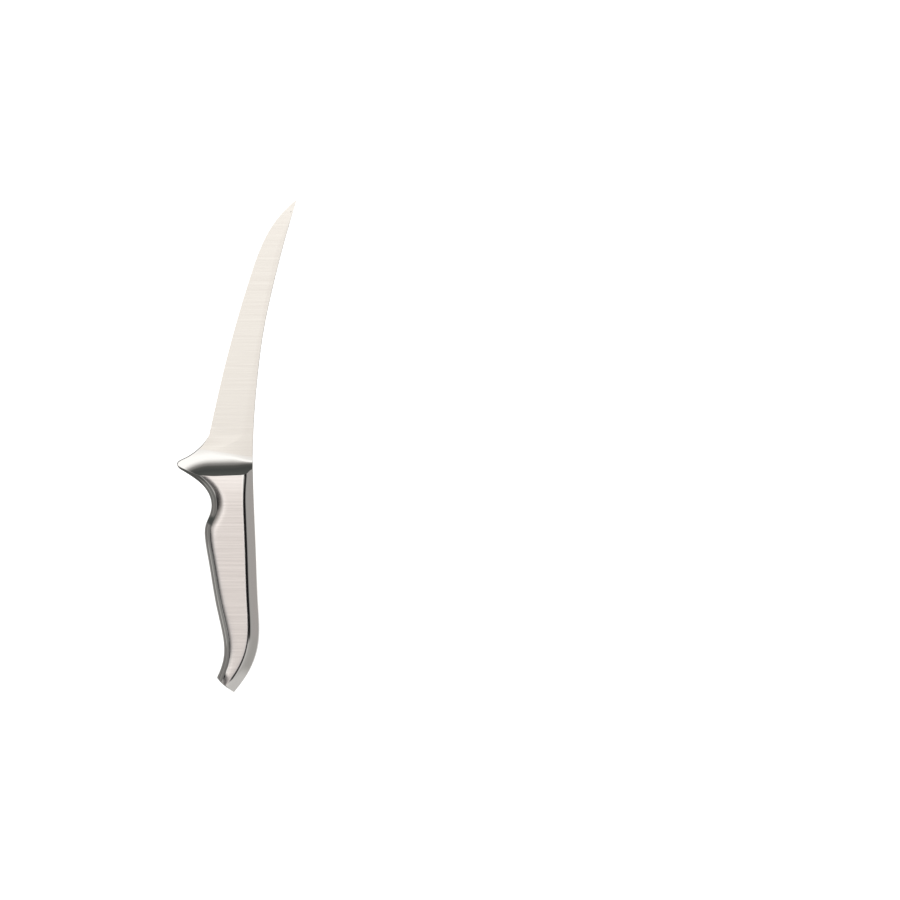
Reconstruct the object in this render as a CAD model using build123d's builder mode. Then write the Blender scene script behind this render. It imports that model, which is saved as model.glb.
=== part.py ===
"""Boning knife with a finger guard and a hollow all-steel handle.

Frame: +Z runs up the knife from its butt to its tip, +X points to the spine side, -X to the
cutting edge, and Y is the thickness. The origin is the centre of the knife's bounding box, and
Y = 0 is its centre plane. The left side, with the tip ahead and the edge down, is -Y. Millimetres.
"""

import os
from math import sqrt

from build123d import *

# ---- driving dimensions -------------------------------------------------------------------
SPINE_HALF = 1.15  # half the blade's thickness on the spine at the guard
SPINE_HALF_TIP = 0.45  # and at the point
EDGE_HALF = 0.17  # half the thickness behind the sharpened bevel
BEVEL_WIDTH = 0.6  # width of the sharpened bevel
GRIND_FACTOR = 1.6  # the grind aims at this many spine thicknesses, so it stops short of the spine
TIP_FLAT_Z = 127.6  # the point is cut off here, where it is half a millimetre wide

SHOULDER_Z = -16.0  # crisp edge between the guard's cove and the handle's flat side
FRONT_HALF = 6.5  # half the handle's thickness at that edge
REAR_HALF = 9.0  # and at the butt: the handle is a wedge that grows towards the rear
BUTT_Z = -128.1  # lowest point of the knife

SPINE_FACET = (4.2, 5.35)  # spine bevel of the handle: width from the side, depth in Y
BELLY_ROLL = (6.2, 1.0)  # broad shallow bevel that eases the belly
BELLY_FACET = (3.0, 4.0)  # narrow steep bevel outside it

BLADE_SEAM_Z = -1.2  # the blade's foot stands on the guard here
COLLAR_Z = -24.4  # the guard ends and the pressed shells begin
WALL = 1.2  # sheet thickness of the shells
SPIGOT_DEPTH = 3.0  # length of the guard's spigot inside the shells
SPIGOT_GAP = 0.1  # clearance round the spigot
WELD_WIDTH = 1.0  # width of each weld, ground flush
WELD_DEPTH = 0.6  # depth of each weld
BUTT_PLATE = 1.5  # thickness of the plate that closes the butt
TANG_WIDTH = 10.0
TANG_THICKNESS = 1.6
TANG_CENTRE_X = 0.5
TANG_END_Z = -46.0
SAND_TOP_Z = -62.0  # level of the balancing sand with the tip up

REACH = 40.0  # further than any point of the handle from the centre plane
CLEAR = 20.0  # a distance that clears the handle's outline
RIM_LENGTH = 50.0  # the handle's rims are longer than this, and its other edges shorter
OUTLINE_STEPS = 24  # points that an outline is moved inwards by
HALVINGS = 40  # times that a search along a curve halves its span
SIDE_PLANE = Plane.XZ.offset(REACH)  # outlines are drawn here and pushed through to the far side

# ---- outlines in the X-Z plane ------------------------------------------------------------
TIP = (31.2, 128.0)
HEEL = (-14.4, 5.5)  # end of the sharpened edge
CUTTING_EDGE = [
    (-19.9, -20.0),
    HEEL,
    (-7.6, 35.8),
    (-0.5, 63.0),
    (7.4, 89.0),
    (13.2, 104.6),
    (20.9, 117.6),
    TIP,
]
BLADE_SPINE = [
    TIP,
    (25.1, 107.2),
    (19.1, 83.8),
    (14.1, 60.4),
    (10.7, 34.8),
    (8.9, 12.8),
    (8.2, -5.2),
    (8.2, -20.0),
]
HANDLE_SPINE = [
    (8.2, 12.0),
    (8.3, -5.2),
    (8.7, -25.0),
    (9.9, -55.0),
    (11.0, -83.0),
    (11.5, -96.0),
    (10.7, -105.0),
    (7.9, -114.0),
    (3.2, -122.2),
    (-5.2, -133.2),
]
BELLY = [
    (-14.0, -127.5),
    (-10.1, -120.7),
    (-7.5, -114.2),
    (-6.3, -106.0),
    (-7.2, -98.0),
    (-10.3, -84.0),
    (-14.3, -61.0),
    (-16.4, -47.5),
    (-16.2, -42.0),
    (-14.0, -36.2),
    (-13.1, -30.6),
    (-14.9, -24.6),
    (-19.6, -19.1),
    (-27.6, -13.6),
]
GUARD_TOP = [
    BELLY[-1],
    (-30.9, -10.9),
    (-31.2, -9.6),
    (-30.4, -8.3),
    (-27.9, -6.9),
    (-20.3, -2.0),
    (-16.6, 2.0),
    HEEL,
]
BUTT_TIP = (-1.3, BUTT_Z)  # the end face runs from here
BUTT_HEEL = (-10.1, -120.7)  # to here
# half thickness and height along the hollow that runs out of the blade into the guard
COVE = [(0.2, HEEL[1]), (0.5, -6.0), (2.4, -13.6), (FRONT_HALF, SHOULDER_Z)]

BLADE_SECTIONS = [-18.0, -8.0, 5.0, 20.0, 46.0, 70.0, 90.0, 106.0, 117.0, 124.0, TIP_FLAT_Z]


def x_at(curve, z):
    """X of a curve that rises or falls steadily in Z, at height z."""
    low, high = 0.0, 1.0
    rising = (curve @ 1.0).Z > (curve @ 0.0).Z
    for _ in range(HALVINGS):
        middle = (low + high) / 2
        if ((curve @ middle).Z < z) == rising:
            low = middle
        else:
            high = middle
    return (curve @ low).X


def in_xz(points):
    """The outline's points on the centre plane."""
    return [(x, 0, z) for x, z in points]


def side_half(z):
    """Half the handle's thickness at height z."""
    return FRONT_HALF + (REAR_HALF - FRONT_HALF) * (SHOULDER_Z - z) / (SHOULDER_Z - BUTT_Z)


def blade_half(z):
    """Half the thickness of the blade's flat along the spine at height z."""
    along = (z - SHOULDER_Z) / (TIP[1] - SHOULDER_Z)
    return SPINE_HALF + (SPINE_HALF_TIP - SPINE_HALF) * along


def inset_bevel(bevel, inset):
    """Width and depth of a bevel after every face has moved inwards by the inset."""
    width, depth = bevel
    slope = width / depth
    inner_width = width + inset * (sqrt(1 + slope**2) - slope - 1)
    inner_depth = depth + inset * (sqrt(1 + 1 / slope**2) - 1 / slope - 1)
    return inner_width, inner_depth


def inset_curve(points, inset):
    """Points of the smooth curve through these points, moved sideways into the handle."""
    curve = Spline(*points, mode=Mode.PRIVATE)
    moved = []
    for step in range(OUTLINE_STEPS + 1):
        place = step / OUTLINE_STEPS
        along = curve % place
        moved.append(curve @ place + Vector(along.Y, -along.X) * inset)
    return moved


def handle_block(inset):
    """The handle's outer shape with its sides moved inwards by the inset. It runs on up past the
    shoulder, as if the guard had no cove and no nose."""
    with BuildPart() as block:
        with BuildSketch(SIDE_PLANE):
            with BuildLine():
                spine = Spline(*inset_curve(HANDLE_SPINE, inset))
                belly = Spline(*inset_curve(BELLY, inset))
                Line(spine @ 1, belly @ 0)
                past_nose = Line(belly @ 1, (belly @ 1) + (belly % 1) * CLEAR)
                Line(past_nose @ 1, spine @ 0)
            make_face()
        extrude(amount=-2 * REACH)
        top_z = HANDLE_SPINE[0][1] + CLEAR
        low_z = BUTT_Z - CLEAR
        top = side_half(top_z) - inset
        low = side_half(low_z) - inset
        with BuildSketch(Plane.YZ):
            Polygon((top, top_z), (-top, top_z), (-low, low_z), (low, low_z), align=None)
        extrude(amount=2 * REACH, both=True, mode=Mode.INTERSECT)
        for side, bevel in ((-1, SPINE_FACET), (0, BELLY_ROLL), (0, BELLY_FACET)):
            face = block.faces().filter_by(GeomType.EXTRUSION).sort_by(Axis.X)[side]
            width, depth = inset_bevel(bevel, inset)
            rims = face.edges().filter_by(lambda edge: edge.length > RIM_LENGTH)
            chamfer(rims, length=depth, length2=width, reference=face)
        split(bisect_by=end_plane, keep=Keep.TOP)
    return block.part


def end_slab(depth):
    """Everything within this depth of the butt's end face."""
    with BuildPart() as slab:
        with BuildSketch(end_plane):
            Rectangle(2 * REACH, 2 * REACH)
        extrude(amount=depth)
    return slab.part


def level_slab(low, high):
    """Everything between two heights."""
    with BuildPart() as slab:
        with BuildSketch(Plane.XY.offset(low)):
            Rectangle(4 * REACH, 4 * REACH)
        extrude(amount=high - low)
    return slab.part


# ---- shapes that the pieces are cut from --------------------------------------------------
across_end = Vector(BUTT_HEEL[0] - BUTT_TIP[0], 0, BUTT_HEEL[1] - BUTT_TIP[1]).normalized()
into_handle = Vector(across_end.Z, 0, -across_end.X)
end_plane = Plane(origin=(BUTT_TIP[0], 0, BUTT_TIP[1]), x_dir=across_end, z_dir=into_handle)
outer = handle_block(0)
weld_root = handle_block(WELD_DEPTH)
cavity = handle_block(WALL)
fit = handle_block(WALL + SPIGOT_GAP)

# the blade as it comes off the grinder: every section is flat near the spine, then a straight
# grind down to the bevel
with BuildPart() as ground_blade:
    edge_curve = Spline(*in_xz(CUTTING_EDGE))
    spine_curve = Spline(*in_xz(BLADE_SPINE))
    for z in BLADE_SECTIONS:
        edge_x = x_at(edge_curve, z)
        spine_x = x_at(spine_curve, z)
        bevel_x = edge_x + min(BEVEL_WIDTH, (spine_x - edge_x) / 2)
        half = GRIND_FACTOR * blade_half(z)
        with BuildSketch(Plane.XY.offset(z)):
            Polygon(
                (edge_x, 0),
                (bevel_x, -EDGE_HALF),
                (spine_x, -half),
                (spine_x, half),
                (bevel_x, EDGE_HALF),
                align=None,
            )
    loft()
    low_z = BLADE_SECTIONS[0]
    with BuildSketch(Plane.YZ):
        Polygon(
            (blade_half(low_z), low_z),
            (blade_half(TIP[1]), TIP[1]),
            (-blade_half(TIP[1]), TIP[1]),
            (-blade_half(low_z), low_z),
            align=None,
        )
    extrude(amount=2 * REACH, both=True, mode=Mode.INTERSECT)
    split(bisect_by=Plane.XY.offset(SHOULDER_Z), keep=Keep.TOP)

# the guard: the handle's outline closed round the nose, thinned by the cove on both sides
with BuildPart() as coved_guard:
    with BuildSketch(SIDE_PLANE):
        with BuildLine():
            nose = Spline(*GUARD_TOP)
            Polyline(HEEL, (CLEAR, HEEL[1]), (CLEAR, COLLAR_Z), (BELLY[-1][0], COLLAR_Z), BELLY[-1])
        make_face()
    extrude(amount=-2 * REACH)
    add(outer, mode=Mode.INTERSECT)
    with BuildSketch(Plane.YZ):
        with BuildLine():
            right = Bezier(*COVE)
            left = Bezier(*[(-y, z) for y, z in COVE])
            Line(left @ 0, right @ 0)
            base_half = side_half(COLLAR_Z) + CLEAR
            Polyline(
                right @ 1,
                (base_half, SHOULDER_Z),
                (base_half, COLLAR_Z),
                (-base_half, COLLAR_Z),
                (-base_half, SHOULDER_Z),
                left @ 1,
            )
        make_face()
    extrude(amount=2 * REACH, both=True, mode=Mode.INTERSECT)
    add(ground_blade)

# ---- the pieces ---------------------------------------------------------------------------
above_seam = level_slab(BLADE_SEAM_Z, TIP[1] + CLEAR)
guard_zone = level_slab(COLLAR_Z, BLADE_SEAM_Z)
shell_zone = level_slab(BUTT_Z - CLEAR, COLLAR_Z)
spigot_zone = level_slab(COLLAR_Z - SPIGOT_DEPTH, COLLAR_Z)
collar_band = level_slab(COLLAR_Z - WELD_WIDTH / 2, COLLAR_Z + WELD_WIDTH / 2)
plate_zone = end_slab(BUTT_PLATE)

with BuildPart() as tang:
    with BuildSketch(Plane.XY.offset(TANG_END_Z)):
        with Locations((TANG_CENTRE_X, 0)):
            Rectangle(TANG_WIDTH, TANG_THICKNESS)
    extrude(amount=BLADE_SEAM_Z - TANG_END_Z)

with BuildPart() as blade:
    add(coved_guard)
    add(above_seam, mode=Mode.INTERSECT)
    add(tang)
    blade.part.label = "blade"

# a ring round the joint between the guard and the shells
with BuildPart() as collar_weld:
    add(outer)
    add(weld_root, mode=Mode.SUBTRACT)
    add(collar_band, mode=Mode.INTERSECT)
    collar_weld.part.label = "collar_weld"

with BuildPart() as spigot:
    add(fit)
    add(spigot_zone, mode=Mode.INTERSECT)

with BuildPart() as finger_guard:
    add(coved_guard)
    add(guard_zone, mode=Mode.INTERSECT)
    add(spigot)
    add(tang, mode=Mode.SUBTRACT)
    add(collar_weld, mode=Mode.SUBTRACT)
    finger_guard.part.label = "finger_guard"

# a ring round the butt plate, flush with the end face
with BuildPart() as butt_weld:
    add(weld_root)
    add(fit, mode=Mode.SUBTRACT)
    add(end_slab(WELD_DEPTH), mode=Mode.INTERSECT)
    butt_weld.part.label = "butt_weld"

with BuildPart() as butt_plate:
    add(cavity)
    add(plate_zone, mode=Mode.INTERSECT)
    add(butt_weld, mode=Mode.SUBTRACT)
    butt_plate.part.label = "butt_plate"

# two strips down the centre plane, one along the spine and one along the belly
with BuildPart() as seam_strips:
    add(outer)
    add(weld_root, mode=Mode.SUBTRACT)
    add(shell_zone, mode=Mode.INTERSECT)
    add(collar_band, mode=Mode.SUBTRACT)
    Box(4 * REACH, WELD_WIDTH, 8 * REACH, mode=Mode.INTERSECT)

belly_strip, spine_strip = seam_strips.solids().sort_by(Axis.X)
with BuildPart() as belly_weld:
    add(belly_strip)
    belly_weld.part.label = "belly_weld"

with BuildPart() as spine_weld:
    add(spine_strip)
    spine_weld.part.label = "spine_weld"

# the pressed shells, one each side of the centre plane
with BuildPart() as both_shells:
    add(outer)
    add(cavity, mode=Mode.SUBTRACT)
    add(shell_zone, mode=Mode.INTERSECT)
    add(collar_weld, mode=Mode.SUBTRACT)
    add(seam_strips, mode=Mode.SUBTRACT)
    add(butt_weld, mode=Mode.SUBTRACT)

with BuildPart() as handle_shell_left:
    add(both_shells)
    split(bisect_by=Plane.XZ, keep=Keep.TOP)
    handle_shell_left.part.label = "handle_shell_left"

with BuildPart() as handle_shell_right:
    add(both_shells)
    split(bisect_by=Plane.XZ, keep=Keep.BOTTOM)
    handle_shell_right.part.label = "handle_shell_right"

# loose sand lies in the rear of the handle
with BuildPart() as balance_sand:
    add(fit)
    add(level_slab(BUTT_Z - CLEAR, SAND_TOP_Z), mode=Mode.INTERSECT)
    add(plate_zone, mode=Mode.SUBTRACT)
    balance_sand.part.label = "balance_sand"

# ---- write the pieces ---------------------------------------------------------------------
os.makedirs("parts", exist_ok=True)
export_step(blade.part, "parts/blade.step")
export_step(finger_guard.part, "parts/finger_guard.step")
export_step(collar_weld.part, "parts/collar_weld.step")
export_step(handle_shell_left.part, "parts/handle_shell_left.step")
export_step(handle_shell_right.part, "parts/handle_shell_right.step")
export_step(spine_weld.part, "parts/spine_weld.step")
export_step(belly_weld.part, "parts/belly_weld.step")
export_step(butt_plate.part, "parts/butt_plate.step")
export_step(butt_weld.part, "parts/butt_weld.step")
export_step(balance_sand.part, "parts/balance_sand.step")
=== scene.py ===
# %% [markdown]
# # A boning knife, drawn around its CAD frame
# The CAD model fixes the sizes. This lesson keeps every one of them and gives the knife the
# surfaces that a person sees: a satin blade that runs out into a scooped finger guard, and a
# bevelled steel handle whose edges are polished. The knife stands tip up, its cutting edge to -X,
# its spine to +X, and its thickness along Y.

# %% Load the frame
import math

import bpy
import numpy as np
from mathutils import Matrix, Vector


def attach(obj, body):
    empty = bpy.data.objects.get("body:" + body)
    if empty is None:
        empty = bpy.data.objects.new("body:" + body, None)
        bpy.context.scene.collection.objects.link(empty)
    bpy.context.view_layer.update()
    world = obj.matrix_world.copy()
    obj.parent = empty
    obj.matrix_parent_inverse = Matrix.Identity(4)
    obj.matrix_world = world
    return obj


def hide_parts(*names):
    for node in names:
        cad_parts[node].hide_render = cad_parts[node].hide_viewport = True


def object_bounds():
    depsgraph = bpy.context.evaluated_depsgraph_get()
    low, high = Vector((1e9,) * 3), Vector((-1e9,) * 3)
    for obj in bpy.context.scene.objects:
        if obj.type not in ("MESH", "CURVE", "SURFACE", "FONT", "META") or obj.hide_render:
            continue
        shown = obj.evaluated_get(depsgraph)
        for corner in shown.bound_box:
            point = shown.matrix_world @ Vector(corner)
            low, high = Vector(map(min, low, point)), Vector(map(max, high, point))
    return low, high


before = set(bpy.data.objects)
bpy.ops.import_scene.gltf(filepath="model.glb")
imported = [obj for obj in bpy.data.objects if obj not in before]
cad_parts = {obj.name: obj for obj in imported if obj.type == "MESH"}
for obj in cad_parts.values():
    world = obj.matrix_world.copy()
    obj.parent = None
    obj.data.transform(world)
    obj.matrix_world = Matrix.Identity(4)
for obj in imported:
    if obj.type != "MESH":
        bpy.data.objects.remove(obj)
cad_low, cad_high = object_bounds()
print("CAD box in metres:", [round(v, 4) for v in cad_low], [round(v, 4) for v in cad_high])

# %% [markdown]
# ## Outlines
# Both outlines are smooth curves through a few points in the X-Z plane, in millimetres, the same
# points as in the CAD model. The left one runs from the tip down the cutting edge, round the
# guard and down the belly. The right one runs from the tip down the spine. Blender could draw
# them as curve objects, but here the surface is worked out point by point, so a natural cubic
# spline in a few lines of numpy is handier.

# %% The outline points
MM = 0.001
CUTTING_EDGE = [(31.2, 128.0), (20.9, 117.6), (13.2, 104.6), (7.4, 89.0), (-0.5, 63.0)]
CUTTING_EDGE = CUTTING_EDGE + [(-7.6, 35.8), (-14.4, 5.5)]
GUARD = [(-14.4, 5.5), (-16.6, 2.0), (-20.3, -2.0), (-27.9, -6.9), (-30.4, -8.3), (-31.2, -9.6)]
GUARD = GUARD + [(-30.9, -10.9), (-27.6, -13.6)]
BELLY = [(-27.6, -13.6), (-19.6, -19.1), (-14.9, -24.6), (-13.1, -30.6), (-14.0, -36.2), (-16.2, -42.0)]
BELLY = BELLY + [(-16.4, -47.5), (-14.3, -61.0), (-10.3, -84.0), (-7.2, -98.0), (-6.3, -106.0)]
BELLY = BELLY + [(-7.5, -114.2), (-10.1, -120.7)]
BLADE_SPINE = [(31.2, 128.0), (25.1, 107.2), (19.1, 83.8), (14.1, 60.4), (10.7, 34.8)]
BLADE_SPINE = BLADE_SPINE + [(8.9, 12.8), (8.2, -5.2)]
HANDLE_SPINE = [(8.2, -5.2), (8.7, -25.0), (9.9, -55.0), (11.0, -83.0), (11.5, -96.0), (10.7, -105.0)]
HANDLE_SPINE = HANDLE_SPINE + [(7.9, -114.0), (3.2, -122.2), (-1.3, -128.1)]


def smooth_line(points, count=160):
    """Points along the natural cubic spline through the given points."""
    knots = np.array(points)
    spans = np.linalg.norm(np.diff(knots, axis=0), axis=1)
    at = np.concatenate(([0.0], np.cumsum(spans)))
    matrix = np.eye(len(knots))
    right = np.zeros_like(knots)
    for i in range(1, len(knots) - 1):
        matrix[i, i - 1 : i + 2] = spans[i - 1], 2 * (spans[i - 1] + spans[i]), spans[i]
        rise = (knots[i + 1] - knots[i]) / spans[i] - (knots[i] - knots[i - 1]) / spans[i - 1]
        right[i] = 6 * rise
    bend = np.linalg.solve(matrix, right)
    places = np.linspace(0, at[-1], count)
    k = np.clip(np.searchsorted(at, places, side="right") - 1, 0, len(spans) - 1)
    h = spans[k][:, None]
    b = ((places - at[k]) / spans[k])[:, None]
    a = 1 - b
    return a * knots[k] + b * knots[k + 1] + ((a**3 - a) * bend[k] + (b**3 - b) * bend[k + 1]) * h**2 / 6


left_line = np.vstack([smooth_line(CUTTING_EDGE), smooth_line(GUARD)[1:], smooth_line(BELLY)[1:]])
right_line = np.vstack([smooth_line(BLADE_SPINE), smooth_line(HANDLE_SPINE)[1:]])
print("outline points:", len(left_line), "left and", len(right_line), "right")

# %% [markdown]
# ## Rows
# The surface is a stack of rings from the tip to the butt. Each ring follows a row, a straight
# line across the side view. Rows are level over most of the knife and turn towards the butt, so
# that the last one lies along the slanted end. They are close together at the guard and the butt,
# where the shape changes quickly.

# %% Where each row starts and ends
SEAM_Z = -1.2
COLLAR_TOP_Z = -23.9
COLLAR_LOW_Z = -24.9
TURN_Z = -94.0
END_LEFT = np.array(BELLY[-1])
END_RIGHT = np.array(HANDLE_SPINE[-1])


def spaced(high, low, step):
    """Heights from high to just above low, about one step apart."""
    return np.linspace(high, low, int(round((high - low) / step)) + 1)[:-1]


tip_z = CUTTING_EDGE[0][1]
row_steps = [(tip_z - 0.05, 0.5), (122, 1.0), (10, 0.4), (SEAM_Z, 0.2), (COLLAR_TOP_Z, 0.25)]
row_steps += [(COLLAR_LOW_Z, 0.3), (-50, 0.8)]
lower_ends = [height for height, step in row_steps[1:]] + [TURN_Z]
level_z = [spaced(high, low, step) for (high, step), low in zip(row_steps, lower_ends)]
level_z = np.concatenate(level_z)
TURN_ROWS, TURN_CROWDING = 110, 1.3
turn = 1 - (1 - np.linspace(0, 1, TURN_ROWS)) ** TURN_CROWDING
left_z = np.concatenate([level_z, TURN_Z + (END_LEFT[1] - TURN_Z) * turn])
right_z = np.concatenate([level_z, TURN_Z + (END_RIGHT[1] - TURN_Z) * turn])
row_left = np.column_stack([np.interp(left_z, left_line[::-1, 1], left_line[::-1, 0]), left_z])
row_right = np.column_stack([np.interp(right_z, right_line[::-1, 1], right_line[::-1, 0]), right_z])
rows = len(row_left)
print("rows:", rows)


# %% [markdown]
# ## Thickness
# Half the thickness at any place is the smallest of a few simple surfaces, as it is when a real
# handle is ground: two flat sides that spread towards the butt, a bevel along the spine, a steep
# band and a soft roll along the belly, and the hollow cove that runs out into the blade. A smooth
# minimum rounds each edge by a stated amount, which is what polishing does.

# %% Helpers for the thickness
def smooth_min(a, b, blend):
    """The smaller of a and b, rounded off where they are within the blend of each other."""
    near = np.maximum(blend - np.abs(a - b), 0) / blend
    return np.minimum(a, b) - near**2 * blend / 4


def smooth_max(a, b, blend):
    return -smooth_min(-a, -b, blend)


def smooth_step(low, high, value):
    s = np.clip((value - low) / (high - low), 0, 1)
    return s * s * (3 - 2 * s)


def distance_to(line, places):
    """Distance from each place to a line given as dense points."""
    flat = places.reshape(-1, 2)
    found = np.empty(len(flat))
    starts, steps = line[:-1], np.diff(line, axis=0)
    lengths = (steps**2).sum(axis=1)
    for first in range(0, len(flat), 2000):
        part = flat[first : first + 2000, None, :] - starts
        along = np.clip((part * steps).sum(axis=2) / lengths, 0, 1)
        gap = part - along[..., None] * steps
        found[first : first + 2000] = np.sqrt((gap**2).sum(axis=2).min(axis=1))
    return found.reshape(places.shape[:-1])


# %% The dimensions of the section
SHOULDER_Z = -16.0
FRONT_HALF, REAR_HALF, BUTT_Z = 6.5, 9.0, -128.1
TOP_ROLL_LENGTH, TOP_ROLL_DEPTH = 16.0, 1.0
SPINE_FACET_WIDTH, SPINE_FACET_DEPTH, SPINE_EASE = 4.2, 4.7, 1.9
SPINE_ROLL_WIDTH, SPINE_ROLL_DEPTH = 3.4, 0.34
BELLY_DEPTH = 5.0
BAND_WIDTH = 2.9
BAND_LINE_PLACE, BAND_LINE_WIDTH, BAND_LINE_DEPTH = 1.35, 0.22, 0.12
ROLL_WIDTH, ROLL_DEPTH = 4.6, 0.46
NOTCH_ROLL_WIDTH, NOTCH_ROLL_DEPTH = 6.6, 1.15
NOTCH_Z, NOTCH_REACH = -28.0, 15.0
SPINE_HALF, SPINE_HALF_TIP, EDGE_HALF, APEX_HALF = 1.15, 0.45, 0.05, 0.02
BEVEL_WIDTH, TIP_SLOPE, GRIND_POWER = 0.6, 0.05, 1.4
COVE = np.array([(0.2, 5.5), (0.38, -8.0), (1.9, -12.4), (FRONT_HALF - 0.35, SHOULDER_Z)])
COVE_DROP, COVE_LEAN = 0.1, 0.03
COVE_END_X, COVE_END_REACH, COVE_END_DROP = -2.0, 11.0, 1.5
END_ROLL_WIDTH, END_ROLL_DEPTH, END_ROUND = 6.0, 0.75, 0.5
RIM_ROUND, RIM_HALF = 0.5, 0.15
CORNER_ROUND = 0.15
NOSE_X, NOSE_REACH = -14.0, 20.0
NOSE_HALF, NOSE_SLOPE = 0.2, 0.105
BLADE_START_Z, COVE_FULL_Z = 9, 3
COVE_END_FADE = (-13.5, -8)
BAND_START = (-10.0, -14.5)
TIP_BLEND, BELLY_BLEND, BODY_BLEND, COVE_BLEND, BLADE_BLEND = 0.3, 0.35, 0.2, 0.3, 0.25

steps = np.linspace(0, 1, 80)[:, None]
cove_line = (1 - steps) ** 3 * COVE[0] + 3 * (1 - steps) ** 2 * steps * COVE[1]
cove_line = cove_line + 3 * (1 - steps) * steps**2 * COVE[2] + steps**3 * COVE[3]
cove_slope = (COVE[3] - COVE[2])[0] / (COVE[3] - COVE[2])[1]


def side_half(z):
    return FRONT_HALF + (REAR_HALF - FRONT_HALF) * (SHOULDER_Z - z) / (SHOULDER_Z - BUTT_Z)


def cove_half(x, z):
    """Half thickness left by the cove, which is lower and longer towards the nose."""
    at_spine = smooth_step(0, COVE_END_REACH, x - COVE_END_X) * smooth_step(*COVE_END_FADE, z)
    lowered = z + COVE_DROP - COVE_LEAN * x + COVE_END_DROP * at_spine
    inside = np.interp(lowered, cove_line[::-1, 1], cove_line[::-1, 0])
    below = COVE[3][0] + (lowered - COVE[3][1]) * cove_slope
    scooped = np.where(lowered < SHOULDER_Z, below, inside)
    nose = NOSE_HALF + np.maximum(COVE[0][1] - z, 0) * NOSE_SLOPE
    at_nose = smooth_step(0, NOSE_REACH, NOSE_X - x)
    return (scooped + (nose - scooped) * at_nose) * smooth_step(BLADE_START_Z, COVE_FULL_Z, z)


def blade_half(across, width, z):
    """Half thickness of the blade at a share of its width from the edge."""
    spine_half = SPINE_HALF + (SPINE_HALF_TIP - SPINE_HALF) * (z - SHOULDER_Z) / (tip_z - SHOULDER_Z)
    spine_half = smooth_min(spine_half, EDGE_HALF + TIP_SLOPE * width, TIP_BLEND)
    ground = EDGE_HALF + (spine_half - EDGE_HALF) * (1 - (1 - across) ** GRIND_POWER)
    bevel = APEX_HALF + (EDGE_HALF - APEX_HALF) * across * width / BEVEL_WIDTH
    return np.minimum(ground, bevel)


# %% Half the thickness anywhere
def half_thickness(place, from_left, from_right, from_end, across, width):
    x, z = place[..., 0], place[..., 1]
    flat = side_half(z)
    from_shoulder = np.clip((SHOULDER_Z - z) / TOP_ROLL_LENGTH, 0, 1)
    side = flat - TOP_ROLL_DEPTH * (1 - from_shoulder) ** 2
    facet = flat - SPINE_FACET_DEPTH + from_right * SPINE_FACET_DEPTH / SPINE_FACET_WIDTH
    eased_away = np.clip((from_right - SPINE_FACET_WIDTH) / SPINE_ROLL_WIDTH, -1, 1)
    spine_side = side - SPINE_ROLL_DEPTH * (1 - eased_away) ** 2
    body = smooth_min(spine_side, facet, SPINE_EASE)
    in_notch = np.exp(-(((z - NOTCH_Z) / NOTCH_REACH) ** 2))
    roll_width = ROLL_WIDTH + (NOTCH_ROLL_WIDTH - ROLL_WIDTH) * in_notch
    roll_depth = ROLL_DEPTH + (NOTCH_ROLL_DEPTH - ROLL_DEPTH) * in_notch
    rolled = np.clip((from_left - BAND_WIDTH) / roll_width, -1, 1)
    roll = side - roll_depth * (1 - rolled) ** 2
    band = side - BELLY_DEPTH + from_left * (BELLY_DEPTH - roll_depth) / BAND_WIDTH
    band = band - BAND_LINE_DEPTH * np.exp(-(((from_left - BAND_LINE_PLACE) / BAND_LINE_WIDTH) ** 2))
    belly = smooth_min(roll, band, BELLY_BLEND)
    body = smooth_min(body, belly, BODY_BLEND)
    cove = cove_half(x, z)
    body = smooth_min(body, cove, COVE_BLEND)
    rim = np.clip(from_left / RIM_ROUND, 0, 1)
    rimmed = RIM_HALF + (cove - RIM_HALF) * np.sqrt(1 - (1 - rim) ** 2)
    banded = smooth_step(*BAND_START, z)
    body = banded * body + (1 - banded) * rimmed
    blade = blade_half(across, width, z)
    full = np.where(z > SHOULDER_Z, smooth_max(body, blade, BLADE_BLEND), body)
    full = np.where(z > BLADE_START_Z, blade, full)
    full = full - END_ROLL_DEPTH * np.clip(1 - from_end / END_ROLL_WIDTH, 0, 1) ** 2
    rolled_over = np.clip(1 - from_end / END_ROUND, 0, 1)
    full = full - END_ROUND * (1 - np.sqrt(1 - rolled_over**2))
    corner = np.minimum(CORNER_ROUND, 0.35 * full)
    off_corner = np.clip(1 - np.minimum(from_left, from_right) / corner, 0, 1)
    return full - corner * (1 - np.sqrt(1 - off_corner**2))


# %% [markdown]
# ## Columns
# Points along a row crowd together where the section bends: at the band, the roll and the spine
# bevel. Each column keeps its place on the shape, so the columns run down the knife like the
# grinder's own lines, and the mesh stays even.

# %% Lay the columns across each row
SAMPLES = 121
shares = np.linspace(0, 1, SAMPLES)
samples = row_left[:, None, :] + (row_right - row_left)[:, None, :] * shares[:, None]
sample_left = distance_to(left_line, samples)
sample_right = distance_to(right_line, samples)
row_width = np.linalg.norm(row_right - row_left, axis=1)

on_handle = smooth_step(12, -6, left_z)
band_end = BEVEL_WIDTH + (BAND_WIDTH - BEVEL_WIDTH) * on_handle
roll_end = band_end + 2.0 + (NOTCH_ROLL_WIDTH - 2.0) * on_handle
bevel_start = 1.5 + (SPINE_FACET_WIDTH + 3.2 - 1.5) * on_handle
bevel_end = 0.5 + (SPINE_FACET_WIDTH - 1.2 - 0.5) * on_handle
corner_marks = [0.0, 0.05, 0.2, 0.5, 1.0]


def eased(start, stop, count, power=1.0):
    """Shares from start to stop, without the start, crowded towards it by the power."""
    return start + (stop - start) * (np.arange(1, count + 1) / count) ** power


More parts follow.
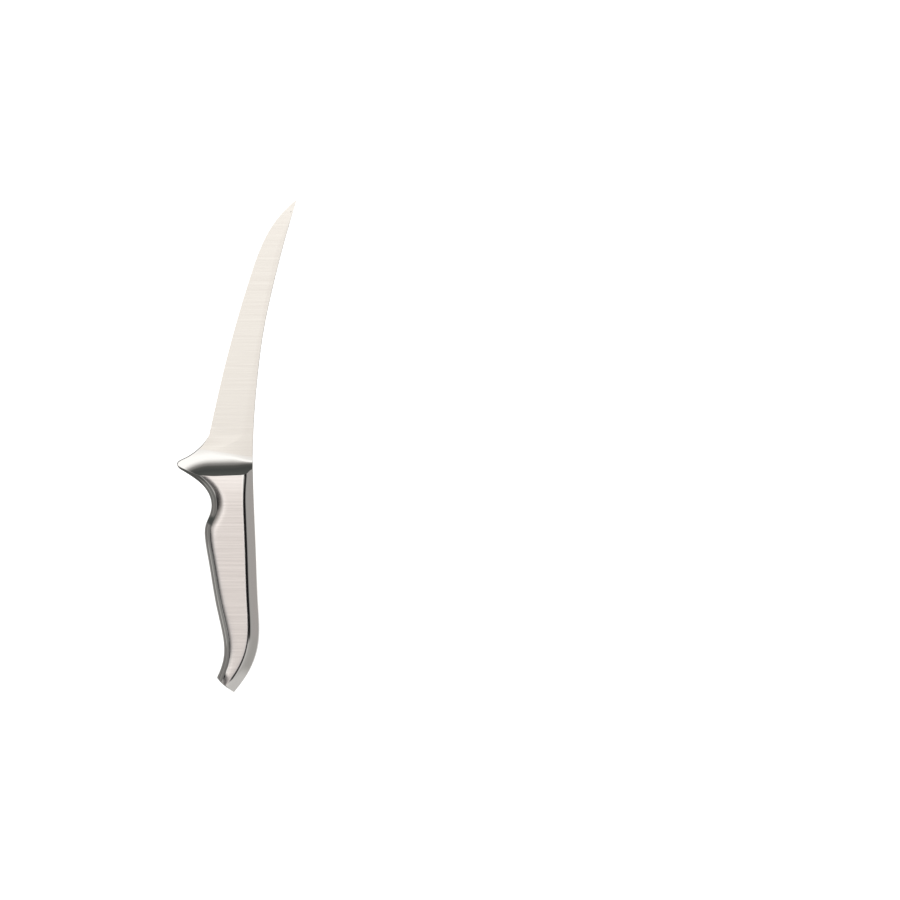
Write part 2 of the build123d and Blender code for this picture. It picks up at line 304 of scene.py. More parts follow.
column_shares = []
for row in range(rows):
    fit = min(1.0, row_width[row] / (1.15 * (roll_end[row] + bevel_start[row])))
    left_marks = [mark * CORNER_ROUND * fit for mark in corner_marks]
    right_marks = left_marks[::-1]
    marks = np.array([band_end[row], roll_end[row]]) * fit
    inner = np.interp(np.concatenate([left_marks, marks]), sample_left[row], shares)
    marks = np.array([bevel_start[row], bevel_end[row]]) * fit
    outer = np.interp(-np.concatenate([marks, right_marks]), -sample_right[row], shares)
    line = [inner[:5]]
    line.append(eased(inner[4], inner[5], 22))
    line.append(eased(inner[5], inner[6], 14, 1.4))
    line.append(eased(inner[6], outer[0], 26))
    line.append(eased(outer[0], outer[1], 22))
    line.append(eased(outer[1], outer[2], 6))
    line.append(outer[3:])
    column_shares.append(np.maximum.accumulate(np.concatenate(line)))
column_shares = np.array(column_shares)
print("columns on each side:", column_shares.shape[1])

# %% [markdown]
# ## Skin
# The thickness at every crossing of a row and a column gives one side of the knife; the other is
# its mirror image. A narrow strip beside the centre plane, at most half a millimetre on each side,
# is kept flat for the long welds. One skin for the whole knife, rather than one for each piece,
# keeps the joints level.

# %% Work out the skin
MATCH_END = END_RIGHT - END_LEFT
end_normal = np.array([MATCH_END[1], -MATCH_END[0]]) / np.linalg.norm(MATCH_END)
places = row_left[:, None, :] + (row_right - row_left)[:, None, :] * column_shares[..., None]
from_left = distance_to(left_line, places)
from_right = distance_to(right_line, places)
from_end = np.abs((places - END_LEFT) @ end_normal)
half = half_thickness(places, from_left, from_right, from_end, column_shares, row_width[:, None])

WELD_HALF = 0.5
centre_left = np.minimum(WELD_HALF, 0.5 * half[:, :1])
centre_right = np.minimum(WELD_HALF, 0.5 * half[:, -1:])
zero = np.zeros((rows, 1))
side_y = np.hstack([zero, centre_left, half, centre_right, zero])
side_places = np.concatenate([places[:, :1], places[:, :1], places, places[:, -1:], places[:, -1:]], axis=1)
near_side = np.stack([side_places[..., 0], -side_y, side_places[..., 1]], axis=-1)
far_side = near_side * np.array([1, -1, 1])
ring = np.concatenate([near_side, far_side[:, -2:0:-1]], axis=1)
SIDE = near_side.shape[1]
thickest = round(2 * float(half.max()), 2)
print("skin:", ring.shape[0], "rows of", ring.shape[1], "points; thickest", thickest, "mm")


# %% [markdown]
# ## Where the wheel and the belt go
# A polishing wheel reaches the cove, the band along the belly and the bevel along the spine; a belt
# leaves the flat sides and the blade satin. The line where the blade's satin stops slants across
# the knife, as a belt held at a small angle leaves it. Numbers from 0 to 1 at the points record
# this, which is lighter than a painted picture and as sharp as the mesh.

# %% Where the steel is polished
def attribute_ring(values):
    """The values of one side as the ring lists them, near side first."""
    side = np.hstack([values[:, :1], values[:, :1], values, values[:, -1:], values[:, -1:]])
    return np.hstack([side, side[:, -2:0:-1]])


EASE_WIDTH = 1.6
place_x, place_z = places[..., 0], places[..., 1]
near_band = smooth_step(BAND_WIDTH + EASE_WIDTH, BAND_WIDTH, from_left)
near_facet = smooth_step(SPINE_FACET_WIDTH + EASE_WIDTH, SPINE_FACET_WIDTH, from_right)
in_cove = np.where(place_z > SHOULDER_Z + 0.2, 1.0, 0.0)
GRIND_LINE_Z, GRIND_LINE_LEAN, GRIND_LINE_SOFT = 0.1, 0.155, 0.8
grind_line = GRIND_LINE_Z - GRIND_LINE_LEAN * (place_x - row_left[:, :1].min())
satin = smooth_step(grind_line - GRIND_LINE_SOFT, grind_line + GRIND_LINE_SOFT, place_z)
polish = np.maximum(np.maximum(near_band, near_facet), in_cove) * (1 - satin)
skin_values = {"polish": attribute_ring(polish), "blade_satin": attribute_ring(satin)}
print("polished share of the skin:", round(float(polish.mean()), 2))


# %% [markdown]
# ## Normals
# A normal is the direction that a surface faces, and it decides what steel reflects. Two ground
# pieces that meet flush face the same way at the joint, so the normals are worked out once, before
# the skin is cut.

# %% Normals of the whole skin
def skin_normals(skin):
    """Outward normals of a ring-shaped grid, shared by every piece cut from it."""
    around = np.roll(skin, -1, axis=1) - np.roll(skin, 1, axis=1)
    along = np.empty_like(skin)
    along[1:-1] = skin[2:] - skin[:-2]
    along[0], along[-1] = skin[1] - skin[0], skin[-1] - skin[-2]
    normals = np.cross(along, around)
    lengths = np.linalg.norm(normals, axis=2, keepdims=True)
    return normals / np.maximum(lengths, 1e-12)


ring_normals = skin_normals(ring)
middle = ring_normals[rows // 2, SIDE // 2]
ring_normals = ring_normals * (-np.sign(middle[1]))
print("the near side faces", np.round(middle * (-np.sign(middle[1])), 2))

# %% [markdown]
# ## Steel
# The whole knife is stainless steel, but its surface is made in three ways. The blade is satin:
# a fine belt rubs it across its width and leaves parallel scratches. The handle's flat sides get a
# similar belt, a little coarser and cooler in tone. The cove, the bevels and the rims are then
# polished on a soft wheel, which takes the scratches out. A texture painted for each piece could
# show this, but the pieces share one skin, so two attributes on its points say how polished and
# how blade-like each place is, and one material reads them. The scratches are a noise stretched
# along X, in object space, so they run straight across every seam.

# %% Colour and node helpers
def linear(hex_colour):
    """An sRGB hex colour as the linear RGBA that shaders work in."""
    channels = [int(hex_colour[i : i + 2], 16) / 255 for i in (1, 3, 5)]
    channels = [c / 12.92 if c <= 0.04045 else ((c + 0.055) / 1.055) ** 2.4 for c in channels]
    return (*channels, 1.0)


def add_node(tree, kind, settings=None, inputs=None, links=None):
    """Adds a node with its settings, the values of its inputs and the sockets linked to them."""
    node = tree.nodes.new(kind)
    for key, value in (settings or {}).items():
        setattr(node, key, value)
    for key, value in (inputs or {}).items():
        node.inputs[key].default_value = value
    for key, socket in (links or {}).items():
        tree.links.new(socket, node.inputs[key])
    return node


def new_material(name):
    material = bpy.data.materials.new(name)
    material.use_nodes = True
    material.node_tree.nodes.clear()
    return material


# %% Belt scratches
FINE_SCRATCH, BROAD_SCRATCH = 0.25, 1.1  # spacing in mm; the real ones are near 0.05, too fine to see
SCRATCH_LENGTH = 60.0


def scratches(tree, spacing, detail):
    """A noise stretched along X into scratches this far apart in Z."""
    place = add_node(tree, "ShaderNodeTexCoord").outputs["Object"]
    squeeze = (1 / (SCRATCH_LENGTH * MM), 1 / (SCRATCH_LENGTH * MM), 1 / (spacing * MM))
    along = add_node(tree, "ShaderNodeMapping", inputs={"Scale": squeeze}, links={"Vector": place})
    inputs = {"Scale": 1.0, "Detail": detail, "Roughness": 0.6}
    noise = add_node(tree, "ShaderNodeTexNoise", None, inputs, {"Vector": along.outputs[0]})
    return noise.outputs["Fac"]


# %% Stainless steel, satin and polished
BLADE_TONES = ("#E6E1DB", "#ECE8E2")
SIDE_TONES = ("#DBD4D1", "#E6E0DD")
POLISH_TONE = "#E6E5E3"
BLADE_ROUGH, SIDE_ROUGH, POLISH_ROUGH = 0.22, 0.2, 0.1
SCRATCH_DEPTH = 0.0016
ROUGH_SPREAD, STREAK_SHARE, SCRATCH_LEFT = 0.05, (0.32, 0.68), 0.1
COLOURS = {"data_type": "RGBA"}
COLOUR_A, COLOUR_B, COLOUR_OUT = 6, 7, 2  # the Mix node's sockets when it mixes colours


def stainless(name):
    """Belt-ground stainless steel: satin where it was left so, smooth where it was polished."""
    material = new_material(name)
    tree = material.node_tree
    polish = add_node(tree, "ShaderNodeAttribute", settings={"attribute_name": "polish"}).outputs["Fac"]
    blade = add_node(tree, "ShaderNodeAttribute", settings={"attribute_name": "blade_satin"}).outputs["Fac"]
    fine = scratches(tree, FINE_SCRATCH, 4.0)
    broad = scratches(tree, BROAD_SCRATCH, 3.0)
    reach = {"From Min": STREAK_SHARE[0], "From Max": STREAK_SHARE[1]}
    streak = add_node(tree, "ShaderNodeMapRange", None, reach, {"Value": broad}).outputs["Result"]
    tones_of = {}
    for part, (dark, light) in {"side": SIDE_TONES, "blade": BLADE_TONES}.items():
        pair = {COLOUR_A: linear(dark), COLOUR_B: linear(light)}
        mix = add_node(tree, "ShaderNodeMix", COLOURS, pair, {"Factor": streak})
        tones_of[part] = mix.outputs[COLOUR_OUT]
    shiny = {COLOUR_B: linear(POLISH_TONE)}
    colour = add_node(tree, "ShaderNodeMix", COLOURS, shiny, {"Factor": polish, COLOUR_A: tones_of["side"]})
    sockets = {"Factor": blade, COLOUR_A: colour.outputs[COLOUR_OUT], COLOUR_B: tones_of["blade"]}
    colour = add_node(tree, "ShaderNodeMix", COLOURS, None, sockets).outputs[COLOUR_OUT]
    rough_of = {}
    for part, middle_rough in {"side": SIDE_ROUGH, "blade": BLADE_ROUGH}.items():
        spread = {"To Min": middle_rough - ROUGH_SPREAD, "To Max": middle_rough + ROUGH_SPREAD}
        rough = add_node(tree, "ShaderNodeMapRange", None, spread, {"Value": fine})
        rough_of[part] = rough.outputs["Result"]
    rough = add_node(
        tree, "ShaderNodeMix", inputs={"B": POLISH_ROUGH}, links={"Factor": polish, "A": rough_of["side"]}
    )
    rough = add_node(
        tree, "ShaderNodeMix", links={"Factor": blade, "A": rough.outputs[0], "B": rough_of["blade"]}
    )
    worn = {"To Min": 1.0, "To Max": SCRATCH_LEFT}
    depth = add_node(tree, "ShaderNodeMapRange", None, worn, {"Value": polish}).outputs["Result"]
    bump = add_node(
        tree,
        "ShaderNodeBump",
        inputs={"Distance": SCRATCH_DEPTH * MM},
        links={"Height": fine, "Strength": depth},
    )
    steel = add_node(
        tree,
        "ShaderNodeBsdfPrincipled",
        inputs={"Metallic": 1.0},
        links={"Base Color": colour, "Roughness": rough.outputs[0], "Normal": bump.outputs[0]},
    )
    add_node(tree, "ShaderNodeOutputMaterial", links={"Surface": steel.outputs[0]})
    return material


blade_steel = stainless("satin_stainless_blade")
handle_steel = stainless("polished_stainless_handle")
print("steel nodes:", len(blade_steel.node_tree.nodes))


# %% [markdown]
# ## Pieces
# The real knife is several pieces of steel whose joints are ground flush. Each visible piece here
# is its own closed mesh, cut from the one skin, so that the joints stay as invisible as they are
# on the knife. Points on a joint get the normal of the whole skin, not that of their own piece,
# because a normal that changes at the cut would draw a line there.


# %% Build a mesh with its own normals
def make_piece(name, points, faces, normals, skin_faces, values):
    """A mesh whose first faces shade with the skin's normals and whose other faces are flat."""
    mesh = bpy.data.meshes.new(name)
    mesh.from_pydata((np.array(points) * MM).tolist(), [], faces)
    mesh.polygons.foreach_set("use_smooth", [True] * len(faces))
    mesh.update()
    corner_normals = []
    for polygon in mesh.polygons:
        if polygon.index < skin_faces:
            corner_normals.extend(normals[v] for v in polygon.vertices)
        else:
            corner_normals.extend([tuple(polygon.normal)] * len(polygon.vertices))
    mesh.normals_split_custom_set([tuple(n) for n in corner_normals])
    for key, numbers in values.items():
        mesh.attributes.new(key, "FLOAT", "POINT").data.foreach_set("value", np.ravel(numbers))
    mesh.materials.append(blade_steel if name == "satin_blade" else handle_steel)
    piece = bpy.data.objects.new(name, mesh)
    bpy.context.scene.collection.objects.link(piece)
    return piece


def grid_faces(row_count, column_count, start=0, closed=False, flip=False):
    faces = []
    last = column_count if closed else column_count - 1
    for i in range(row_count - 1):
        for j in range(last):
            a = start + i * column_count + j
            b = start + i * column_count + (j + 1) % column_count
            face = (a, b, b + column_count, a + column_count)
            faces.append(face[::-1] if flip else face)
    return faces


# %% Cut pieces out of the skin
def row_of(z):
    """The row that lies at this height on the left outline."""
    return int(np.argmin(np.abs(left_z - z)))


def solid_slice(name, first, last, tip=None):
    """A full-ring slice of the knife with a flat cap at each end, or a tip point at the top."""
    count = ring.shape[1]
    height = last - first + 1
    points = ring[first : last + 1].reshape(-1, 3).tolist()
    normals = ring_normals[first : last + 1].reshape(-1, 3).tolist()
    values = {key: ring_values[first : last + 1].ravel() for key, ring_values in skin_values.items()}
    faces = grid_faces(height, count, closed=True, flip=True)
    if tip is not None:
        points.append(tip)
        normals.append((0.0, 0.0, 1.0))
        values = {key: np.append(numbers, numbers[0]) for key, numbers in values.items()}
        faces += [(j, (j + 1) % count, len(points) - 1) for j in range(count)]
    skin_faces = len(faces)
    if tip is None:
        faces.append(tuple(range(count)))
    foot = (height - 1) * count
    faces.append(tuple(range(foot + count - 1, foot - 1, -1)))
    return make_piece(name, points, faces, normals, skin_faces, values)


def sheet_slice(name, first, last, columns, depth):
    """A strip of the skin with a wall of the given depth behind it, closed on all sides."""
    closed = columns is None
    columns = list(range(ring.shape[1])) if closed else columns
    width, height = len(columns), last - first + 1
    outer = ring[first : last + 1][:, columns]
    normal = ring_normals[first : last + 1][:, columns]
    inner = outer - normal * depth
    points = np.concatenate([outer.reshape(-1, 3), inner.reshape(-1, 3)])
    normals = np.concatenate([normal.reshape(-1, 3), -normal.reshape(-1, 3)])
    back = width * height
    faces = grid_faces(height, width, closed=closed, flip=True)
    faces += grid_faces(height, width, start=back, closed=closed)
    skin_faces = len(faces)
    foot = (height - 1) * width
    for j in range(width if closed else width - 1):
        k = (j + 1) % width
        faces.append((j, k, back + k, back + j))
        faces.append((back + foot + j, back + foot + k, foot + k, foot + j))
    if not closed:
        for i in range(height - 1):
            a, b = i * width, (i + 1) * width
            faces.append((b, a, back + a, back + b))
            a, b = a + width - 1, b + width - 1
            faces.append((a, b, back + b, back + a))
    values = {key: ring_values[first : last + 1][:, columns] for key, ring_values in skin_values.items()}
    values = {key: np.concatenate([numbers, numbers]) for key, numbers in values.items()}
    return make_piece(name, points, faces, normals.tolist(), skin_faces, values)


WALL, WELD_DEPTH, PLATE_DEPTH = 1.2, 0.6, 1.5
seam, collar_top, collar_low = row_of(SEAM_Z), row_of(COLLAR_TOP_Z), row_of(COLLAR_LOW_Z)
last_row = rows - 1
around = ring.shape[1]
tip_point = (CUTTING_EDGE[0][0], 0.0, tip_z)
pieces = {
    "blade": solid_slice("satin_blade", 0, seam, tip_point),
    "finger_guard": solid_slice("scooped_guard", seam, collar_top),
    "collar_weld": sheet_slice("collar_seam", collar_top, collar_low, None, WELD_DEPTH),
    "handle_shell_left": sheet_slice("shell_left", collar_low, last_row, list(range(1, SIDE - 1)), WALL),
    "handle_shell_right": sheet_slice("shell_right", collar_low, last_row, list(range(SIDE, around)), WALL),
}
for node, piece in pieces.items():
    print(node, "->", piece.name, len(piece.data.polygons), "faces")


# %% [markdown]
# ## The end of the handle
# A flat plate closes the hollow handle at a slant, and a thin weld runs round it. Both lie in one
# plane, so they are drawn from one loop, the last ring of the skin, moved inwards twice: the weld is
# the band between the loops and the plate fills the inner one.

# %% The end of the handle
def loop_inset(loop, distance):
    """A closed loop on the end plane moved inwards, keeping its corners round."""
    centre = loop.mean(axis=0)
    ahead = np.roll(loop, -1, axis=0) - np.roll(loop, 1, axis=0)
    end_axis = np.array([end_normal[0], 0, end_normal[1]])
    inward = np.cross(ahead, end_axis)
    inward = inward / np.linalg.norm(inward, axis=1, keepdims=True)
    sign = np.sign(((centre - loop) * inward).sum(axis=1).mean())
    return loop + inward * sign * distance


def end_piece(name, outer_loop, inner_loop, depth):
    """A flat ring or disc flush with the end face and this deep."""
    count = len(outer_loop)
    into = np.array([end_normal[0], 0, end_normal[1]])
    into = into * np.sign(into[2]) * depth
    loops = [outer_loop, outer_loop + into]
    if inner_loop is not None:
        loops = [inner_loop, outer_loop, outer_loop + into, inner_loop + into]
    points = np.concatenate(loops)
    faces = []
    for level in range(len(loops) - 1):
        for j in range(count):
            k = (j + 1) % count
            a, b = level * count, (level + 1) * count
            faces.append((a + j, a + k, b + k, b + j))
    if inner_loop is not None:
        a = 3 * count
        faces += [(a + j, a + (j + 1) % count, (j + 1) % count, j) for j in range(count)]
    else:
        faces.append(tuple(range(count - 1, -1, -1)))
        faces.append(tuple(range(count, 2 * count)))
    values = {"polish": np.ones(len(points)), "blade_satin": np.zeros(len(points))}
    return make_piece(name, points, faces, [(0, 0, 1)] * len(points), 0, values)


BUTT_WELD_OUTER, BUTT_WELD_INNER = 0.6, 1.3
end_loop = ring[last_row]
weld_outer = loop_inset(end_loop, BUTT_WELD_OUTER)
weld_inner = loop_inset(end_loop, BUTT_WELD_INNER)
pieces["butt_weld"] = end_piece("butt_seam", weld_outer, weld_inner, WELD_DEPTH)
pieces["butt_plate"] = end_piece("end_plate", weld_inner, None, PLATE_DEPTH)

# %% [markdown]
# ## The long welds
# The two pressed shells are joined by a weld along the spine and another along the belly, each a
# millimetre wide and ground level with the steel. A weld is a section that follows a path, which
# is what Curve to Mesh in Geometry Nodes does: the path is the knife's centre line, the section
# is a small rectangle that hangs inwards from it, and the width and depth are inputs. The curve's
# own normals would twist where it bends, so they are set to Y. The section's X then lies across
# the knife, so it takes the width, and its Y points out of the steel, so it takes the depth.

# %% Build the weld tree
def weld_tree():
    tree = bpy.data.node_groups.new("ground_weld", "GeometryNodeTree")
    sockets = [("Path", "Geometry"), ("Width", "Float"), ("Depth", "Float"), ("Steel", "Material")]
    for name, kind in sockets:
        tree.interface.new_socket(name, in_out="INPUT", socket_type="NodeSocket" + kind)
    tree.interface.new_socket("Weld", in_out="OUTPUT", socket_type="NodeSocketGeometry")
    given = add_node(tree, "NodeGroupInput").outputs
    path = add_node(tree, "GeometryNodeMeshToCurve", links={"Mesh": given["Path"]})
    path = add_node(
        tree,
        "GeometryNodeSetCurveNormal",
        settings={"mode": "FREE"},
        inputs={"Normal": (0, 1, 0)},
        links={"Curve": path.outputs[0]},
    )
    section = add_node(
        tree, "GeometryNodeCurvePrimitiveQuadrilateral", links={0: given["Width"], 1: given["Depth"]}
    )
    lowered = add_node(
        tree, "ShaderNodeMath", {"operation": "MULTIPLY"}, inputs={1: -0.5}, links={0: given["Depth"]}
    )
    shift = add_node(tree, "ShaderNodeCombineXYZ", links={"Y": lowered.outputs[0]})
    section = add_node(
        tree,
        "GeometryNodeTransform",
        links={"Geometry": section.outputs[0], "Translation": shift.outputs[0]},
    )
    swept = add_node(
        tree,
        "GeometryNodeCurveToMesh",
        inputs={"Fill Caps": True},
        links={"Curve": path.outputs[0], "Profile Curve": section.outputs[0]},
    )
    marked = add_node(
        tree,
        "GeometryNodeStoreNamedAttribute",
        settings={"data_type": "FLOAT", "domain": "POINT"},
        inputs={"Name": "polish"},
        links={"Geometry": swept.outputs[0]},
    )
    next(i for i in marked.inputs if i.name == "Value" and i.type == "VALUE").default_value = 1.0
    real = add_node(tree, "GeometryNodeRealizeInstances", links={"Geometry": marked.outputs[0]})
    steel = add_node(
        tree, "GeometryNodeSetMaterial", links={"Geometry": real.outputs[0], "Material": given["Steel"]}
    )
    add_node(tree, "NodeGroupOutput", links={"Weld": steel.outputs[0]})
    return tree


# %% Run it along the spine and the belly
WELD_WIDTH = 2 * WELD_HALF
SMOOTH_BELOW = math.radians(40)
ground_weld = weld_tree()
weld_items = [item for item in ground_weld.interface.items_tree if item.in_out == "INPUT"]
weld_inputs = {item.name: item.identifier for item in weld_items}


def long_weld(name, path_points):
    """A weld swept along these points by the tree, as a plain mesh."""
    path = bpy.data.meshes.new(name + "_path")
    links = [(i, i + 1) for i in range(len(path_points) - 1)]
    path.from_pydata((np.array(path_points) * MM).tolist(), links, [])
    holder = bpy.data.objects.new(name, path)
    bpy.context.scene.collection.objects.link(holder)
    modifier = holder.modifiers.new("weld", "NODES")
    modifier.node_group = ground_weld
    modifier[weld_inputs["Width"]] = WELD_WIDTH * MM
    modifier[weld_inputs["Depth"]] = WELD_DEPTH * MM
    modifier[weld_inputs["Steel"]] = handle_steel
    evaluated = holder.evaluated_get(bpy.context.evaluated_depsgraph_get())
    mesh = bpy.data.meshes.new_from_object(evaluated)
    holder.modifiers.remove(modifier)
    holder.data = mesh
    mesh.set_sharp_from_angle(angle=SMOOTH_BELOW)
    span = [round(1000 * float(side), 2) for side in holder.dimensions]
    print(name, len(mesh.polygons), "faces,", span, "mm")
    return holder


pieces["spine_weld"] = long_weld("spine_seam", ring[collar_low:, SIDE - 1])
pieces["belly_weld"] = long_weld("belly_seam", ring[collar_low:, 0][::-1])

# %% [markdown]
# ## Hand over
# The knife is one rigid body, so every piece rides the root. Each takes the place of one CAD node,
# which is hidden.

# %% Hand the pieces to the frame
for node, piece in pieces.items():
    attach(piece, "root")
    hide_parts(node)
print("pieces handed over:", len(pieces))


# %% [markdown]
# ## Sand
# Loose sand in the hollow handle balances the knife. It is sealed in, so its CAD solid is shape
# enough, and only the material is made here: dry quartz sand is a heap of grains about 0.4 mm
# across in a few tans, dull, and bumpy at the size of a grain. A Voronoi texture gives each grain
# its own cell, and so its own tone.

# %% Dry quartz sand
GRAIN = 0.4
SAND_TONES = ("#A58B66", "#DCCBA6")
sand = new_material("dry_quartz_sand")
tree = sand.node_tree
place = add_node(tree, "ShaderNodeTexCoord").outputs["Object"]
grains = add_node(tree, "ShaderNodeTexVoronoi", inputs={"Scale": 1 / (GRAIN * MM)}, links={"Vector": place})
tans = {COLOUR_A: linear(SAND_TONES[0]), COLOUR_B: linear(SAND_TONES[1])}
tan = add_node(tree, "ShaderNodeMix", COLOURS, tans, {"Factor": grains.outputs["Color"]})
bump = add_node(
    tree, "ShaderNodeBump", inputs={"Distance": GRAIN * MM / 2}, links={"Height": grains.outputs["Distance"]}
)
grit = add_node(
    tree,
    "ShaderNodeBsdfPrincipled",
    inputs={"Roughness": 0.95},
    links={"Base Color": tan.outputs[COLOUR_OUT], "Normal": bump.outputs[0]},
)
add_node(tree, "ShaderNodeOutputMaterial", links={"Surface": grit.outputs[0]})
sand_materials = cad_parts["balance_sand"].data.materials
sand_materials.clear()
sand_materials.append(sand)
print("sand grains", GRAIN, "mm")

# %% [markdown]
# ## Studio
# Polished steel has hardly any colour of its own: it shows the room. So the room is designed with
# care. A studio lights a knife with a big white board in front, which makes the flat sides
# bright, and leaves dark gaps beside and above the board, which draw the bevels and the cove as
# crisp dark shapes. The world's colour does that here, by direction: tones across the room for
# level directions, others above, below and near the floor. The floor is white and, like the soft
# overhead light, stays out of the reflections, which the world already holds.

# %% Floor and overhead light
scene = bpy.context.scene
scene.view_settings.view_transform = "Standard"
FLOOR_Z, FLOOR_HALF = cad_low[2] - 0.05, 6.0
corners = [(-1, -1), (1, -1), (1, 1), (-1, 1)]
floor_mesh = bpy.data.meshes.new("floor")
floor_mesh.from_pydata([(x * FLOOR_HALF, y * FLOOR_HALF, FLOOR_Z) for x, y in corners], [], [(0, 1, 2, 3)])
floor = bpy.data.objects.new("floor", floor_mesh)
scene.collection.objects.link(floor)
floor.visible_glossy = False
floor_paint = new_material("matt_white_paper")
tree = floor_paint.node_tree
paper = add_node(
    tree, "ShaderNodeBsdfPrincipled", inputs={"Base Color": linear("#FBFBFA"), "Roughness": 0.9}
)
add_node(tree, "ShaderNodeOutputMaterial", links={"Surface": paper.outputs[0]})
floor_mesh.materials.append(floor_paint)

overhead = bpy.data.objects.new("overhead", bpy.data.lights.new("overhead", "SUN"))
scene.collection.objects.link(overhead)
overhead.data.energy = 3.4
overhead.data.angle = math.radians(60)
overhead.visible_glossy = False
print("floor at", round(FLOOR_Z, 4), "m")

# %% [markdown]
# ## The room, direction by direction
# A background shader can be given a colour for each direction. Two angles are enough: how far
# round to the side a direction points, and how far off the straight line to the front. A colour
# ramp on an angle is a strip of wall, and a few strips are mixed by height. A room made this way
# needs no lamps placed in it, and one tone can be changed at a time.

# %% Directions in the room
world = bpy.data.worlds.new("soft_studio")
scene.world = world
world.use_nodes = True
tree = world.node_tree
tree.nodes.clear()
direction = add_node(tree, "ShaderNodeTexCoord").outputs["Generated"]
parts = add_node(tree, "ShaderNodeSeparateXYZ", links={"Vector": direction}).outputs
facing = add_node(tree, "ShaderNodeMath", {"operation": "ABSOLUTE"}, links={0: parts["Y"]}).outputs[0]
pair = {0: parts["X"], 1: facing}
round_angle = add_node(tree, "ShaderNodeMath", {"operation": "ARCTAN2"}, links=pair).outputs[0]
off_angle = add_node(tree, "ShaderNodeMath", {"operation": "ARCCOSINE"}, links={0: facing}).outputs[0]
print("angles made:", round_angle.node.operation, off_angle.node.operation)


# %% Tones by direction
def tones(angle, lowest, stops):
    """Tones by an angle in degrees, from the lowest angle up to 90."""
    scale = {1: math.degrees(1) / (90 - lowest), 2: -lowest / (90 - lowest)}
    share = add_node(tree, "ShaderNodeMath", {"operation": "MULTIPLY_ADD"}, scale, {0: angle})
    ramp = add_node(tree, "ShaderNodeValToRGB", links={"Fac": share.outputs[0]})
    stops = [((degrees - lowest) / (90 - lowest), linear(colour)) for degrees, colour in stops]
    for end, (position, colour) in zip(ramp.color_ramp.elements, (stops[0], stops[-1])):
        end.position, end.color = position, colour
    for position, colour in stops[1:-1]:
        ramp.color_ramp.elements.new(position).color = colour
    return ramp.outputs["Color"]


belly_tones = [(-90, "#7C7A78"), (-75, "#605E5C"), (-62, "#706E6C"), (-54, "#8E8C8A"), (-46, "#1A1A1B")]
belly_tones += [(-31, "#161617"), (-26, "#303031"), (-22, "#6A6A6B"), (-18, "#868585"), (-14, "#9C9A9B")]
belly_tones += [(-10, "#AEADAD"), (-7, "#BEBCBB"), (-5, "#C6C4C2")]
spine_tones = [(3, "#C4C2C1"), (8, "#ACACAF"), (12, "#989AA0"), (17, "#6A6C72"), (22, "#141416")]
spine_tones += [(58, "#101011"), (65, "#989694"), (90, "#989492")]
level = tones(round_angle, -90, belly_tones + spine_tones)
above_tones = [(0, "#DEDBD8"), (6, "#DEDBD8"), (9, "#E2E0DD"), (12, "#ECEAE7"), (15, "#F8F7F5")]
above_tones += [(22, "#F6F5F3"), (28, "#C4C2BF")]
above_tones += [(33, "#888684"), (43, "#4C4C4A"), (60, "#3E403F"), (75, "#444644"), (90, "#4A4C4A")]
above = tones(off_angle, 0, above_tones)
below_tones = [(-90, "#5E5E5C"), (-62, "#6A6A68"), (-53, "#A4A2A0"), (-40, "#B6B4B2"), (-34, "#6A6A6A")]
below_tones += [(-22, "#505050"), (-13, "#A2A09F"), (-6, "#C2C0BE"), (4, "#C0BEBD"), (12, "#8E8E90")]
below_tones += [(17, "#1C1C1E"), (36, "#1C1C1E"), (41, "#AEACAA"), (48, "#B4B2B0"), (58, "#9E9C9A")]
below_tones += [(90, "#94928F")]
below = tones(round_angle, -90, below_tones)
low_tones = [(-90, "#484846"), (-38, "#4E4E4C"), (-15, "#B0AEAC"), (0, "#C8C6C4"), (40, "#B8B6B4")]
low_tones += [(90, "#B4B2B0")]
low = tones(round_angle, -90, low_tones)
print("tones across the room:", len(belly_tones + spine_tones))


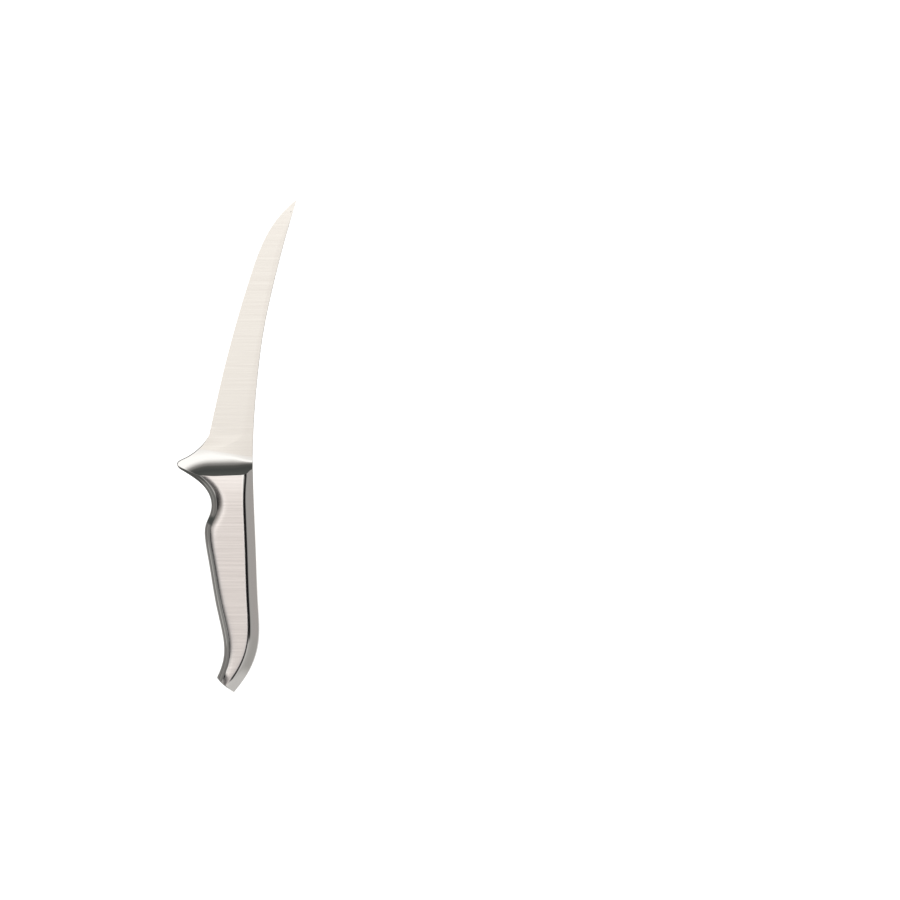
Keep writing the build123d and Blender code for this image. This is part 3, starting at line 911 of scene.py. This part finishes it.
# %% Put the room together
def blend_tones(first, second, height, start, stop):
    """Goes from the first tones to the second as the height goes from start to stop."""
    share = add_node(
        tree,
        "ShaderNodeMapRange",
        settings={"interpolation_type": "SMOOTHSTEP"},
        inputs={"From Min": start, "From Max": stop},
        links={"Value": height},
    )
    pair = {"Factor": share.outputs["Result"], COLOUR_A: first, COLOUR_B: second}
    return add_node(tree, "ShaderNodeMix", COLOURS, None, pair).outputs[COLOUR_OUT]


ROOM_STRENGTH = 1.4
BOARD_X, BOARD_RISE = 0.3, 0.6
BOARD_TOP, BOARD_FOOT, FLOOR_EDGE = (-0.09, -0.02), (-0.09, -0.15), (-0.50, -0.64)
sideways = add_node(tree, "ShaderNodeMath", {"operation": "ABSOLUTE"}, links={0: parts["X"]})
past = add_node(tree, "ShaderNodeMath", {"operation": "SUBTRACT"}, {1: BOARD_X}, {0: sideways.outputs[0]})
aside = add_node(tree, "ShaderNodeMath", {"operation": "MAXIMUM"}, {1: 0.0}, {0: past.outputs[0]})
rise = add_node(tree, "ShaderNodeMath", {"operation": "MULTIPLY"}, {1: BOARD_RISE}, {0: aside.outputs[0]})
heights = {0: parts["Z"], 1: rise.outputs[0]}
over_board = add_node(tree, "ShaderNodeMath", {"operation": "SUBTRACT"}, links=heights).outputs[0]
room = blend_tones(level, above, over_board, *BOARD_TOP)
room = blend_tones(room, below, parts["Z"], *BOARD_FOOT)
room = blend_tones(room, low, parts["Z"], *FLOOR_EDGE)
seen = add_node(tree, "ShaderNodeLightPath").outputs["Is Camera Ray"]
backdrop = {COLOUR_B: linear("#FFFFFF")}
shade = add_node(tree, "ShaderNodeMix", COLOURS, backdrop, {"Factor": seen, COLOUR_A: room})
shade = shade.outputs[COLOUR_OUT]
sky = add_node(tree, "ShaderNodeBackground", inputs={"Strength": ROOM_STRENGTH}, links={"Color": shade})
add_node(tree, "ShaderNodeOutputWorld", links={"Surface": sky.outputs["Background"]})
print("room nodes:", len(tree.nodes))

# %% [markdown]
# ## Camera
# A long lens level with the knife keeps its outline true. The knife stands left of the middle of
# the picture, so the camera stands to its right and looks straight along Y.

# %% Camera
camera = bpy.data.objects.new("camera", bpy.data.cameras.new("camera"))
scene.collection.objects.link(camera)
scene.camera = camera
camera.data.lens = 100
camera.location = (0.1108, -1.3, -0.0025)
camera.rotation_euler = (math.pi / 2, 0, 0)
print("camera", round(-camera.location.y, 2), "m in front, lens", camera.data.lens, "mm")
